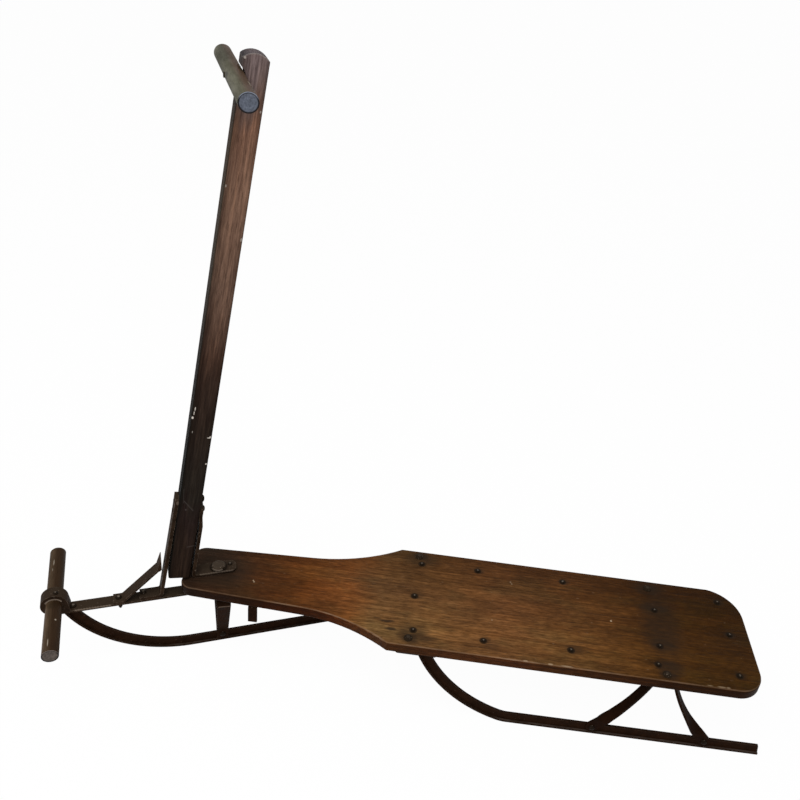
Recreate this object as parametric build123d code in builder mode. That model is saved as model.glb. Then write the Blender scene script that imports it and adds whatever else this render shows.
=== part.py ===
"""Kick sled: wooden deck on two steel runners, steered by a raked post on a single front runner."""
import os
from math import acos, atan2, cos, radians, sin, sqrt

from build123d import *

os.makedirs("parts", exist_ok=True)

# Steering, turned to the left about the upright kingpin
STEER_DEG = 22.5
PIN_D = 10
PIN_HEAD_D = 22
PIN_HEAD_H = 6
PIN_DOME = 4
PIN_FOOT_D = 17
PIN_FOOT_H = 4
PIN_CLEAR = 0.4
RUN_GAP = 0.3

# Deck plank, measured from the kingpin
DECK_TOP = 155
DECK_T = 18.5
DECK_FRONT = 50
DECK_REAR = 865
DECK_HALF = 104
SHOULDER_X = -286
NECK_END_X = -142
NECK_END_HALF = 56.3
NECK_TIP_HALF = 46.5
TIP_ROUND = 20
TAIL_SPREAD = 4
LEFT_ROUND = 40
LEFT_TURN_DEG = 90
RIGHT_ROUND = 60
RIGHT_TURN_DEG = 80
DECK_EASE = 3.5

# Cross battens under the nail rows
BATTEN_T = 8
BATTEN_W = 40
BATTEN_EASE = 1.5
BATTEN_INSET = 10
FRONT_BATTEN_X = -318
SECOND_BATTEN_X = -424
THIRD_BATTEN_X = -565
TAIL_BATTEN_IN = 37
TAIL_INSET = 32
KNEE_BATTEN_GAP = 7

# Runner section, an inverted T
RUNNER_H = 17.5
FLANGE_W = 9.4
FLANGE_T = 3.5
WEB_T = 4
END_CUT_DEG = 8
TAB_T = 3.5
TAB_W = 11
TAB_ROUND = 4

# Rear runners
RUNNER_INSET = 15.5
RUNNER_REAR = -898
KINK_BEHIND = 172
KINK_R = 60
KINK_DEG = 18
BOW_R = 225
BOW_DEG = 52
TAB_AHEAD = 18
TAB_BEHIND = 46

# Knees, strap arches between the deck and the rear runners
KNEE_X = -716.5
KNEE_W = 15
KNEE_T = 4
KNEE_INSET = 18
KNEE_PLATE = 48
KNEE_PLATE_W = 26
LEG_TOP_X = 17
LEG_TOP_DROP = 4.5
LEG_END_X = 78.5
LEG_END_Z = 30
LEG_R = 330
LEG_STATIONS = 9
TWIST_TOP = 12
TWIST_END = 90
TWIST_LATE = 5
FOOT_W = 19
FOOT_RUN = 18.5

# Keeper under the neck
KEEPER_X = -68
KEEPER_W = 14
KEEPER_HALF = 48
KEEPER_DROP = 53

# Straps of flat steel
STRAP_T = 3.5
STRAP_W = 20
STRAP_BEND = 6

# Steering bar and foot bar
BAR_DROP = 32.8
BAR_TAIL = -88
TAIL_HALF = 5.5
TAIL_TAPER_X = -35
EYE_X = 242
EYE_TAIL = 21.5
EYE_WALL = 7.5
FOOT_BAR_D = 23.4
FOOT_BAR_L = 215
SPACER_D = 44

# Front runner and its saddle
FRONT_REAR_X = -200
FRONT_FLAT_X = 43
FRONT_BOW_R = 211
FRONT_BOW_DEG = 68
FRONT_TAB_REAR = 196
FRONT_TAB_FRONT = 236
SADDLE_X = -4
SADDLE_HALF = 38
SADDLE_TOP_W = 22
SADDLE_FOOT_W = 18
SADDLE_KNEE_Z = 25
SADDLE_FOOT_Z = 5.5
SADDLE_BEND = 7

# Post and handlebar
POST_X = 60.9
POST_LIFT = 7.5
POST_RAKE = 8.22
POST_DEEP = 32.5
POST_WIDE = 29
POST_LONG = 804
POST_CROWN_R = 22
POST_EASE = 3
GRIP_D = 22.8
GRIP_L = 260
GRIP_OFF = 8
GRIP_DOWN = 30.6
GRIP_PROUD = 5.2
SEAT_PLAY = 2
SEAT_OPEN_DEG = 45

# Straps on the post, and the brace in front of it
FRONT_STRAP_TOP = 150
FRONT_STRAP_T = 5.5
FRONT_STRAP_BREAK = 132
FRONT_STRAP_X = 89
FRONT_FOOT = 32
BREAK_BEND = 80
REAR_STRAP_TOP = 133
REAR_STRAP_W = 24
REAR_STRAP_T = 5
REAR_STRAP_OFF = 2.5
REAR_STRAP_BREAK = 118
REAR_STRAP_CLEAR = 100
REAR_TAB_END = -27
REAR_TAB_ROUND = 9
BRACE_T = 3
BRACE_W = 20
BRACE_FOOT_FRONT = 160
BRACE_FOOT_REAR = 146
BRACE_BEND_X = 89.3
BRACE_BEND_RISE = 58
BRACE_TIP_X = 86.5
BRACE_TIP_RISE = 76.5
BRACE_TIP_ROOT = 7
BRACE_TIP_T = 1

# Derived directions and levels
TURN = radians(STEER_DEG)
RAKE = radians(POST_RAKE)
AHEAD = (cos(TURN), sin(TURN), 0)
DECK_UNDER = DECK_TOP - DECK_T
BATTEN_UNDER = DECK_UNDER - BATTEN_T
RUNNER_Y = DECK_HALF - RUNNER_INSET
KNEE_TOP_Y = DECK_HALF - KNEE_INSET
KNEE_BATTEN_HALF = KNEE_TOP_Y - KNEE_PLATE_W / 2 - KNEE_BATTEN_GAP
KINK_X = FRONT_BATTEN_X - KINK_BEHIND
BAR_TOP = DECK_TOP - BAR_DROP
BAR_MID = BAR_TOP - STRAP_T / 2
BAR_UNDER = BAR_TOP - STRAP_T
EYE_OUTER = FOOT_BAR_D / 2 + EYE_WALL
EYE_Z = BAR_UNDER + EYE_OUTER
POST_FOOT = DECK_TOP + POST_LIFT
GRIP_UP = POST_LONG - GRIP_DOWN
GRIP_DEPTH = POST_DEEP / 2 + GRIP_PROUD


def on_post(depth, height):
    """Point beside the post's axis, in the upright plane of the steering."""
    return (
        POST_X + depth * cos(RAKE) - height * sin(RAKE),
        POST_FOOT + depth * sin(RAKE) + height * cos(RAKE),
    )


# Origin under the middle of the whole, found from the outermost pieces
GRIP_X, GRIP_Z = on_post(GRIP_DEPTH, GRIP_UP)
REACH_FRONT = (EYE_X + FOOT_BAR_D / 2) * cos(TURN) + FOOT_BAR_L / 2 * sin(TURN)
REACH_LEFT = (EYE_X + FOOT_BAR_D / 2) * sin(TURN) + FOOT_BAR_L / 2 * cos(TURN)
REACH_RIGHT = (GRIP_X - GRIP_D / 2) * sin(TURN) - (GRIP_L / 2 - GRIP_OFF) * cos(TURN)
KING_X = -(REACH_FRONT + RUNNER_REAR) / 2
KING_Y = -(REACH_LEFT + REACH_RIGHT) / 2


def level(height):
    """Horizontal plane of the sled at a height, with the kingpin at its middle."""
    return Plane(origin=(KING_X, KING_Y, height))


def lengthwise(offset):
    """Upright plane along the sled, with forward to the right and up above."""
    return Plane(origin=(KING_X, KING_Y + offset, 0), x_dir=(1, 0, 0), z_dir=(0, -1, 0))


def crosswise(offset):
    """Upright plane across the sled, with left to the right and up above."""
    return Plane(origin=(KING_X + offset, KING_Y, 0), x_dir=(0, 1, 0), z_dir=(1, 0, 0))


def steer_level(height):
    """Horizontal plane turned with the steering."""
    return Plane(origin=(KING_X, KING_Y, height), x_dir=AHEAD, z_dir=(0, 0, 1))


def steer_across(offset):
    """Upright plane across the steering."""
    return Plane(
        origin=(KING_X + offset * cos(TURN), KING_Y + offset * sin(TURN), 0),
        x_dir=(-sin(TURN), cos(TURN), 0),
        z_dir=AHEAD,
    )


STEER_SIDE = Plane(origin=(KING_X, KING_Y, 0), x_dir=AHEAD, z_dir=(sin(TURN), -cos(TURN), 0))
POST_SIDE = Plane(
    origin=STEER_SIDE.from_local_coords(on_post(0, 0)),
    x_dir=STEER_SIDE.x_dir * cos(RAKE) + STEER_SIDE.y_dir * sin(RAKE),
    z_dir=STEER_SIDE.z_dir,
)

# Deck: the left edge spreads a little to the tail, and the tail's two corners are cut differently
NECK_RUN = Vector(NECK_END_X - DECK_FRONT, NECK_END_HALF - NECK_TIP_HALF).normalized()
with BuildPart() as deck:
    with BuildSketch(level(DECK_UNDER)) as deck_plan:
        with BuildLine():
            for way, tail_half, corner, turn_deg in (
                (1, DECK_HALF + TAIL_SPREAD, LEFT_ROUND, LEFT_TURN_DEG),
                (-1, DECK_HALF, RIGHT_ROUND, RIGHT_TURN_DEG),
            ):
                tail_flat = tail_half - corner * sin(radians(turn_deg))
                corner_x = corner * (1 - cos(radians(turn_deg))) - DECK_REAR
                Line((-DECK_REAR, 0), (-DECK_REAR, way * tail_flat))
                RadiusArc((-DECK_REAR, way * tail_flat), (corner_x, way * tail_half), way * corner)
                Line((corner_x, way * tail_half), (SHOULDER_X, way * DECK_HALF))
                TangentArc(
                    (NECK_END_X, way * NECK_END_HALF),
                    (SHOULDER_X, way * DECK_HALF),
                    tangent=(NECK_RUN.X, way * NECK_RUN.Y),
                )
                Line((NECK_END_X, way * NECK_END_HALF), (DECK_FRONT, way * NECK_TIP_HALF))
                Line((DECK_FRONT, way * NECK_TIP_HALF), (DECK_FRONT, 0))
        make_face()
        fillet(deck_plan.vertices().sort_by(Axis.X)[-2:], TIP_ROUND)
    extrude(amount=DECK_T)
    fillet(deck.faces().sort_by(Axis.Z)[-1].edges(), DECK_EASE)
    fillet(deck.faces().sort_by(Axis.Z)[0].edges(), DECK_EASE)
    with Locations((KING_X, KING_Y, DECK_TOP)):
        Hole(PIN_D / 2 + PIN_CLEAR / 2, depth=DECK_T)
deck.part.label = "deck"
export_step(deck.part, "parts/deck.step")

# Front batten, which carries the rear runners' front ends
with BuildPart() as batten_front:
    with BuildSketch(level(BATTEN_UNDER)):
        with Locations((FRONT_BATTEN_X, 0)):
            Rectangle(BATTEN_W, 2 * (DECK_HALF - BATTEN_INSET))
    extrude(amount=BATTEN_T)
    fillet(batten_front.edges().filter_by(Axis.Z), BATTEN_EASE)
batten_front.part.label = "batten_front"
export_step(batten_front.part, "parts/batten_front.step")

# Second batten
with BuildPart() as batten_second:
    with BuildSketch(level(BATTEN_UNDER)):
        with Locations((SECOND_BATTEN_X, 0)):
            Rectangle(BATTEN_W, 2 * (DECK_HALF - BATTEN_INSET))
    extrude(amount=BATTEN_T)
    fillet(batten_second.edges().filter_by(Axis.Z), BATTEN_EASE)
batten_second.part.label = "batten_second"
export_step(batten_second.part, "parts/batten_second.step")

# Third batten
with BuildPart() as batten_third:
    with BuildSketch(level(BATTEN_UNDER)):
        with Locations((THIRD_BATTEN_X, 0)):
            Rectangle(BATTEN_W, 2 * (DECK_HALF - BATTEN_INSET))
    extrude(amount=BATTEN_T)
    fillet(batten_third.edges().filter_by(Axis.Z), BATTEN_EASE)
batten_third.part.label = "batten_third"
export_step(batten_third.part, "parts/batten_third.step")

# Knee batten: short, between the two knees
with BuildPart() as batten_knee:
    with BuildSketch(level(BATTEN_UNDER)):
        with Locations((KNEE_X, 0)):
            Rectangle(BATTEN_W, 2 * KNEE_BATTEN_HALF)
    extrude(amount=BATTEN_T)
    fillet(batten_knee.edges().filter_by(Axis.Z), BATTEN_EASE)
batten_knee.part.label = "batten_knee"
export_step(batten_knee.part, "parts/batten_knee.step")

# Tail batten
with BuildPart() as batten_tail:
    with BuildSketch(level(BATTEN_UNDER)):
        with Locations((TAIL_BATTEN_IN - DECK_REAR, 0)):
            Rectangle(BATTEN_W, 2 * (DECK_HALF - TAIL_INSET))
    extrude(amount=BATTEN_T)
    fillet(batten_tail.edges().filter_by(Axis.Z), BATTEN_EASE)
batten_tail.part.label = "batten_tail"
export_step(batten_tail.part, "parts/batten_tail.step")

# Left rear runner: the T follows its own sole, up the bow to a tab bolted under the front batten
RUNNER_SIDE = lengthwise(RUNNER_Y)
BOW_RUN = (cos(radians(KINK_DEG)), sin(radians(KINK_DEG)))
BOW_START = (KINK_X + KINK_R * BOW_RUN[1], KINK_R - KINK_R * BOW_RUN[0])
with BuildPart() as runner_left:
    with BuildLine(RUNNER_SIDE) as sole:
        flat = Line((RUNNER_REAR, 0), (KINK_X, 0))
        JernArc(start=(KINK_X, 0), tangent=(1, 0), radius=KINK_R, arc_size=KINK_DEG)
        JernArc(start=BOW_START, tangent=BOW_RUN, radius=BOW_R, arc_size=BOW_DEG)
    with BuildSketch(Plane(origin=flat @ 0, x_dir=(0, 1, 0), z_dir=(1, 0, 0))):
        Rectangle(FLANGE_W, FLANGE_T, align=(Align.CENTER, Align.MIN))
        Rectangle(WEB_T, RUNNER_H, align=(Align.CENTER, Align.MIN))
    sweep(path=sole.wires()[0])
    split(bisect_by=level(BATTEN_UNDER), keep=Keep.BOTTOM)
    with BuildSketch(level(BATTEN_UNDER - TAB_T)):
        with Locations((FRONT_BATTEN_X + (TAB_AHEAD - TAB_BEHIND) / 2, RUNNER_Y)):
            RectangleRounded(TAB_AHEAD + TAB_BEHIND, TAB_W, TAB_ROUND)
    extrude(amount=TAB_T)
    with BuildSketch(RUNNER_SIDE):
        with BuildLine():
            lean = RUNNER_H * sin(radians(END_CUT_DEG))
            Polyline(
                (RUNNER_REAR, FLANGE_T),
                (RUNNER_REAR + lean, RUNNER_H),
                (RUNNER_REAR, RUNNER_H),
                (RUNNER_REAR, FLANGE_T),
            )
        make_face()
    extrude(amount=FLANGE_W, both=True, mode=Mode.SUBTRACT)
runner_left.part.label = "runner_left"
export_step(runner_left.part, "parts/runner_left.step")

# Right rear runner, the mirror of the left
with BuildPart() as runner_right:
    add(runner_left.part.mirror(lengthwise(0)))
runner_right.part.label = "runner_right"
export_step(runner_right.part, "parts/runner_right.step")

# Left knee: a strap arch whose legs twist a quarter turn low down and end in spread feet on the runner's web
FOOT_Y = RUNNER_Y + WEB_T / 2 + KNEE_T / 2
LEG_TOP_Z = DECK_UNDER - LEG_TOP_DROP
with BuildPart() as knee_left:
    with BuildSketch(level(DECK_UNDER - KNEE_T)):
        with Locations((KNEE_X, KNEE_TOP_Y)):
            Rectangle(KNEE_PLATE, KNEE_PLATE_W)
    extrude(amount=KNEE_T)
    for way in (1, -1):
        with BuildLine(mode=Mode.PRIVATE) as leg:
            RadiusArc((LEG_TOP_X, LEG_TOP_Z), (LEG_END_X, LEG_END_Z), -LEG_R)
        for station in range(LEG_STATIONS):
            share = station / (LEG_STATIONS - 1)
            spot = leg.line @ share
            run = leg.line % share
            late = share**TWIST_LATE
            phi = radians(TWIST_TOP + (TWIST_END - TWIST_TOP) * late)
            here = (
                KING_X + KNEE_X + way * spot.X,
                KING_Y + KNEE_TOP_Y + (FOOT_Y - KNEE_TOP_Y) * share,
                spot.Y,
            )
            broad = (way * run.Y * sin(phi), cos(phi), -run.X * sin(phi))
            with BuildSketch(Plane(origin=here, x_dir=broad, z_dir=(way * run.X, 0, run.Y))):
                Rectangle(KNEE_W + (FOOT_W - KNEE_W) * late, KNEE_T)
        loft()
        end = leg.line @ 1
        slope = leg.line % 1
        with BuildSketch(lengthwise(FOOT_Y)):
            with Locations(
                Location(
                    (KNEE_X + way * (end.X + slope.X * FOOT_RUN / 2), end.Y + slope.Y * FOOT_RUN / 2),
                    way * slope.get_angle(Vector(1, 0)) * -1,
                )
            ):
                Rectangle(FOOT_RUN, FOOT_W)
            with Locations((KNEE_X + way * (end.X + slope.X * FOOT_RUN), end.Y + slope.Y * FOOT_RUN)):
                Circle(FOOT_W / 2)
        extrude(amount=KNEE_T / 2, both=True)
knee_left.part.label = "knee_left"
export_step(knee_left.part, "parts/knee_left.step")

# Right knee, the mirror of the left
with BuildPart() as knee_right:
    add(knee_left.part.mirror(lengthwise(0)))
knee_right.part.label = "knee_right"
export_step(knee_right.part, "parts/knee_right.step")

# Keeper: strap under the neck, both ends turned down beside the steering bar's tail
KEEPER_SEAT = DECK_UNDER - STRAP_T / 2
KEEPER_END = DECK_TOP - KEEPER_DROP
with BuildPart() as keeper:
    with BuildSketch(crosswise(KEEPER_X)):
        with BuildLine() as staple:
            Polyline(
                (KEEPER_HALF, KEEPER_END),
                (KEEPER_HALF, KEEPER_SEAT),
                (-KEEPER_HALF, KEEPER_SEAT),
                (-KEEPER_HALF, KEEPER_END),
            )
            fillet(staple.vertices().filter_by_position(Axis.Y, KEEPER_SEAT, KEEPER_SEAT), STRAP_BEND)
        trace(line_width=STRAP_T)
    extrude(amount=KEEPER_W / 2, both=True)
keeper.part.label = "keeper"
export_step(keeper.part, "parts/keeper.step")

# Spacer on the kingpin between the deck and the steering bar
with BuildPart() as spacer:
    with BuildSketch(level(BAR_TOP + RUN_GAP)):
        Circle(SPACER_D / 2)
        Circle(PIN_D / 2 + PIN_CLEAR / 2, mode=Mode.SUBTRACT)
    extrude(amount=DECK_UNDER - BAR_TOP - RUN_GAP)
spacer.part.label = "spacer"
export_step(spacer.part, "parts/spacer.step")

# Kingpin: domed head above the rear strap's tab, shank, and a riveted foot under the saddle
HEAD_UNDER = DECK_TOP + 2 * RUN_GAP + REAR_STRAP_T
FOOT_ABOVE = BAR_UNDER - STRAP_T - RUN_GAP
with BuildPart() as kingpin:
    with BuildSketch(level(FOOT_ABOVE - PIN_FOOT_H)):
        Circle(PIN_FOOT_D / 2)
    extrude(amount=PIN_FOOT_H)
    with BuildSketch(level(FOOT_ABOVE)):
        Circle(PIN_D / 2)
    extrude(amount=HEAD_UNDER - FOOT_ABOVE)
    with BuildSketch(level(HEAD_UNDER)):
        Circle(PIN_HEAD_D / 2)
    extrude(amount=PIN_HEAD_H)
    fillet(kingpin.edges().sort_by(Axis.Z)[-1], PIN_DOME)
kingpin.part.label = "kingpin"
export_step(kingpin.part, "parts/kingpin.step")

# Steering bar: strap with its front end rolled into an eye round the foot bar, tail narrowed
LAP = Vector(-EYE_TAIL, BAR_TOP + STRAP_T - EYE_Z)
LAP_TURN = acos(EYE_OUTER / LAP.length)
LAP_AIM = atan2(LAP.Y, LAP.X) - LAP_TURN
with BuildPart() as steering_bar:
    with BuildSketch(STEER_SIDE):
        with Locations((EYE_X, BAR_UNDER)):
            Rectangle(EYE_X - BAR_TAIL, STRAP_T, align=(Align.MAX, Align.MIN))
        with Locations((EYE_X, EYE_Z)):
            Circle(EYE_OUTER)
        with BuildLine():
            Polyline(
                (EYE_X + EYE_OUTER * cos(LAP_AIM), EYE_Z + EYE_OUTER * sin(LAP_AIM)),
                (EYE_X - EYE_TAIL, BAR_TOP + STRAP_T),
                (EYE_X - EYE_TAIL, BAR_UNDER),
                (EYE_X, BAR_UNDER),
                (EYE_X, EYE_Z),
                (EYE_X + EYE_OUTER * cos(LAP_AIM), EYE_Z + EYE_OUTER * sin(LAP_AIM)),
            )
        make_face()
        with Locations((EYE_X, EYE_Z)):
            Circle(FOOT_BAR_D / 2, mode=Mode.SUBTRACT)
    extrude(amount=STRAP_W / 2, both=True)
    with BuildSketch(steer_level(BAR_MID)):
        with BuildLine():
            Polyline(
                (BAR_TAIL, TAIL_HALF),
                (TAIL_TAPER_X, STRAP_W / 2),
                (BAR_TAIL, STRAP_W / 2),
                (BAR_TAIL, TAIL_HALF),
            )
        make_face()
        mirror(about=Plane.XZ)
    extrude(amount=STRAP_T, both=True, mode=Mode.SUBTRACT)
    with Locations((KING_X, KING_Y, BAR_TOP)):
        Hole(PIN_D / 2 + PIN_CLEAR / 2, depth=STRAP_T)
steering_bar.part.label = "steering_bar"
export_step(steering_bar.part, "parts/steering_bar.step")

# Foot bar across the front
with BuildPart() as foot_bar:
    with BuildSketch(STEER_SIDE):
        with Locations((EYE_X, EYE_Z)):
            Circle(FOOT_BAR_D / 2)
    extrude(amount=FOOT_BAR_L / 2, both=True)
foot_bar.part.label = "foot_bar"
export_step(foot_bar.part, "parts/foot_bar.step")

# Front runner: the same T, bowed up to a tab under the steering bar
with BuildPart() as runner_front:
    with BuildLine(STEER_SIDE) as front_sole:
        front_flat = Line((FRONT_REAR_X, 0), (FRONT_FLAT_X, 0))
        JernArc(start=(FRONT_FLAT_X, 0), tangent=(1, 0), radius=FRONT_BOW_R, arc_size=FRONT_BOW_DEG)
    with BuildSketch(Plane(origin=front_flat @ 0, x_dir=(-sin(TURN), cos(TURN), 0), z_dir=AHEAD)):
        Rectangle(FLANGE_W, FLANGE_T, align=(Align.CENTER, Align.MIN))
        Rectangle(WEB_T, RUNNER_H, align=(Align.CENTER, Align.MIN))
    sweep(path=front_sole.wires()[0])
    split(bisect_by=level(BAR_UNDER), keep=Keep.BOTTOM)
    with BuildSketch(steer_level(BAR_UNDER - TAB_T)):
        with Locations(((FRONT_TAB_REAR + FRONT_TAB_FRONT) / 2, 0)):
            RectangleRounded(FRONT_TAB_FRONT - FRONT_TAB_REAR, TAB_W, TAB_ROUND)
    extrude(amount=TAB_T)
runner_front.part.label = "runner_front"
export_step(runner_front.part, "parts/runner_front.step")

# Saddle: strap stirrup, legs drawn in to both sides of the front runner's web
SADDLE_SEAT = BAR_UNDER - STRAP_T / 2
SADDLE_SHIN = WEB_T / 2 + STRAP_T / 2
with BuildPart() as saddle:
    with BuildSketch(steer_across(SADDLE_X)):
        with BuildLine() as saddle_line:
            Polyline(
                (SADDLE_SHIN, SADDLE_FOOT_Z),
                (SADDLE_SHIN, SADDLE_KNEE_Z),
                (SADDLE_HALF, SADDLE_SEAT),
                (-SADDLE_HALF, SADDLE_SEAT),
                (-SADDLE_SHIN, SADDLE_KNEE_Z),
                (-SADDLE_SHIN, SADDLE_FOOT_Z),
            )
            fillet(saddle_line.vertices().filter_by_position(Axis.Y, SADDLE_KNEE_Z, SADDLE_SEAT), SADDLE_BEND)
        trace(line_width=STRAP_T)
    extrude(amount=SADDLE_TOP_W / 2, both=True)
    with BuildSketch(STEER_SIDE):
        with BuildLine():
            Polyline(
                (SADDLE_X - SADDLE_FOOT_W / 2, 0),
                (SADDLE_X + SADDLE_FOOT_W / 2, 0),
                (SADDLE_X + SADDLE_TOP_W / 2, BAR_UNDER),
                (SADDLE_X - SADDLE_TOP_W / 2, BAR_UNDER),
                (SADDLE_X - SADDLE_FOOT_W / 2, 0),
            )
        make_face()
    extrude(amount=2 * SADDLE_HALF, both=True, mode=Mode.INTERSECT)
    with Locations((KING_X, KING_Y, BAR_UNDER)):
        Hole(PIN_D / 2 + PIN_CLEAR / 2, depth=STRAP_T)
saddle.part.label = "saddle"
export_step(saddle.part, "parts/saddle.step")

# Post: raked back, crowned top, long edges eased, a round seat in its front that gapes above the handlebar
SEAT_OPEN = radians(SEAT_OPEN_DEG)
CROWN_DROP = POST_CROWN_R - sqrt(POST_CROWN_R**2 - (POST_DEEP / 2) ** 2)
with BuildPart() as post:
    with BuildSketch(POST_SIDE):
        with BuildLine():
            Line((-POST_DEEP / 2, POST_LONG - CROWN_DROP), (-POST_DEEP / 2, 0))
            Line((-POST_DEEP / 2, 0), (POST_DEEP / 2, 0))
            Line((POST_DEEP / 2, 0), (POST_DEEP / 2, POST_LONG - CROWN_DROP))
            ThreePointArc(
                (POST_DEEP / 2, POST_LONG - CROWN_DROP),
                (0, POST_LONG),
                (-POST_DEEP / 2, POST_LONG - CROWN_DROP),
            )
        make_face()
    extrude(amount=POST_WIDE / 2, both=True)
    fillet(post.edges().filter_by(Axis((0, 0, 0), POST_SIDE.y_dir)), POST_EASE)
    with BuildSketch(POST_SIDE):
        with Locations((GRIP_DEPTH + SEAT_PLAY * cos(SEAT_OPEN), GRIP_UP + SEAT_PLAY * sin(SEAT_OPEN))):
            Circle(GRIP_D / 2 + SEAT_PLAY)
    extrude(amount=POST_WIDE, both=True, mode=Mode.SUBTRACT)
post.part.label = "post"
export_step(post.part, "parts/post.step")

# Handlebar, slipped a little to the left in its seat
with BuildPart() as handlebar:
    with BuildSketch(STEER_SIDE.offset(-GRIP_OFF)):
        with Locations((GRIP_X, GRIP_Z)):
            Circle(GRIP_D / 2)
    extrude(amount=GRIP_L / 2, both=True)
handlebar.part.label = "handlebar"
export_step(handlebar.part, "parts/handlebar.step")

# Front strap: down the post's front, a little away from it lower down, foot turned forward on the bar
STRAP_DEPTH = POST_DEEP / 2 + FRONT_STRAP_T / 2
FOOT_LEVEL = BAR_TOP + FRONT_STRAP_T / 2
with BuildPart() as strap_front:
    with BuildSketch(STEER_SIDE):
        with BuildLine() as front_line:
            Polyline(
                on_post(STRAP_DEPTH, FRONT_STRAP_TOP),
                on_post(STRAP_DEPTH, FRONT_STRAP_BREAK),
                (FRONT_STRAP_X, FOOT_LEVEL),
                (FRONT_STRAP_X + FRONT_FOOT, FOOT_LEVEL),
            )
            bends = front_line.vertices().sort_by(Axis.Y, reverse=True)
            fillet(bends[1], BREAK_BEND)
            fillet(front_line.vertices().filter_by_position(Axis.X, FRONT_STRAP_X, FRONT_STRAP_X), STRAP_BEND)
        trace(line_width=FRONT_STRAP_T)
    extrude(amount=STRAP_W / 2, both=True)
strap_front.part.label = "strap_front"
export_step(strap_front.part, "parts/strap_front.step")

# Rear strap: on the post's back at its top, set off it lower down, then along the deck to the kingpin
TAB_LEVEL = DECK_TOP + RUN_GAP + REAR_STRAP_T / 2
BACK_DEPTH = POST_DEEP / 2 + REAR_STRAP_T / 2
OFF_DEPTH = BACK_DEPTH + REAR_STRAP_OFF
BACK_FOOT = (TAB_LEVEL - POST_FOOT + OFF_DEPTH * sin(RAKE)) / cos(RAKE)
with BuildPart() as strap_rear:
    with BuildSketch(STEER_SIDE):
        with BuildLine() as rear_line:
            Polyline(
                on_post(-BACK_DEPTH, REAR_STRAP_TOP),
                on_post(-BACK_DEPTH, REAR_STRAP_BREAK),
                on_post(-OFF_DEPTH, REAR_STRAP_CLEAR),
                on_post(-OFF_DEPTH, BACK_FOOT),
                (REAR_TAB_END, TAB_LEVEL),
            )
            fillet(rear_line.vertices().sort_by(Axis.X)[-1], STRAP_BEND)
        trace(line_width=REAR_STRAP_T)
    extrude(amount=REAR_STRAP_W / 2, both=True)
    fillet(strap_rear.edges().filter_by(Axis.Z).sort_by(Axis(STEER_SIDE.origin, AHEAD))[:2], REAR_TAB_ROUND)
    with Locations((KING_X, KING_Y, TAB_LEVEL + REAR_STRAP_T / 2)):
        Hole(PIN_D / 2 + PIN_CLEAR / 2, depth=REAR_STRAP_T)
strap_rear.part.label = "strap_rear"
export_step(strap_rear.part, "parts/strap_rear.step")

# Brace: bent strip bolted on the bar, its upper end forged to an upright point just off the front strap
BRACE_LEVEL = BAR_TOP + BRACE_T / 2
BRACE_BEND_Z = BAR_TOP + BRACE_BEND_RISE
BRACE_TIP_Z = BAR_TOP + BRACE_TIP_RISE
with BuildPart() as brace:
    with BuildSketch(STEER_SIDE):
        with BuildLine() as brace_line:
            Polyline(
                (BRACE_FOOT_FRONT, BRACE_LEVEL),
                (BRACE_FOOT_REAR, BRACE_LEVEL),
                (BRACE_BEND_X, BRACE_BEND_Z),
            )
            fillet(brace_line.vertices().sort_by(Axis.X)[1], STRAP_BEND)
        trace(line_width=BRACE_T)
        with BuildLine():
            Polyline(
                (BRACE_BEND_X - BRACE_TIP_ROOT / 2, BRACE_BEND_Z),
                (BRACE_TIP_X - BRACE_TIP_T / 2, BRACE_TIP_Z),
                (BRACE_TIP_X + BRACE_TIP_T / 2, BRACE_TIP_Z),
                (BRACE_BEND_X + BRACE_TIP_ROOT / 2, BRACE_BEND_Z),
                (BRACE_BEND_X, BRACE_BEND_Z - BRACE_TIP_ROOT / 2),
                (BRACE_BEND_X - BRACE_TIP_ROOT / 2, BRACE_BEND_Z),
            )
        make_face()
    extrude(amount=BRACE_W / 2, both=True)
brace.part.label = "brace"
export_step(brace.part, "parts/brace.step")

print("kingpin", round(KING_X, 3), round(KING_Y, 3))
print("foot bar", EYE_X, EYE_Z, "handlebar", GRIP_X, GRIP_Z)
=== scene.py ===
# %% [markdown]
# # An old kick sled
# A child stands on the long deck with one foot, kicks with the other and steers with the post.
# The solids of the sled come from CAD and are never touched here. This lesson adds what CAD leaves out:
# the nails, bolts and rivets, the finishes with their wear, the light, and the camera.

# %% Load the frame
from math import cos, pi, radians, sin

import bmesh
import bpy
from mathutils import Matrix, Vector


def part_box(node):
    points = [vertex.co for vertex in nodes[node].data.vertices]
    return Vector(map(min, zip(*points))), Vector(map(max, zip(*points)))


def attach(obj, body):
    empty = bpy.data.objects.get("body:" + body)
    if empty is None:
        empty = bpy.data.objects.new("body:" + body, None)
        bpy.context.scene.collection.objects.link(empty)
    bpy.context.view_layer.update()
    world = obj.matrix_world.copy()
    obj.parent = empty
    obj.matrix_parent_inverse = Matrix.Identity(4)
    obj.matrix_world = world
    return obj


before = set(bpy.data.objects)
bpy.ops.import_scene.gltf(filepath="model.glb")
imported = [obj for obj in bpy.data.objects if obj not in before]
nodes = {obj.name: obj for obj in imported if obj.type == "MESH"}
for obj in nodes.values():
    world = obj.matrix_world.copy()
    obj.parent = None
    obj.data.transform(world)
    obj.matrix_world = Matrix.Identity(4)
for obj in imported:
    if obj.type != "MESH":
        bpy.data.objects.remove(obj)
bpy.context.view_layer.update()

# %% [markdown]
# ## Where things are
# Every place on this sled is easiest to name from the kingpin, the bolt that the front turns on. Its middle
# is read from the frame, so the script follows if the model moves. The front stands turned to the left,
# so there is one helper for the sled's own directions, one for the turned front, and one for the raked post.

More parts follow.
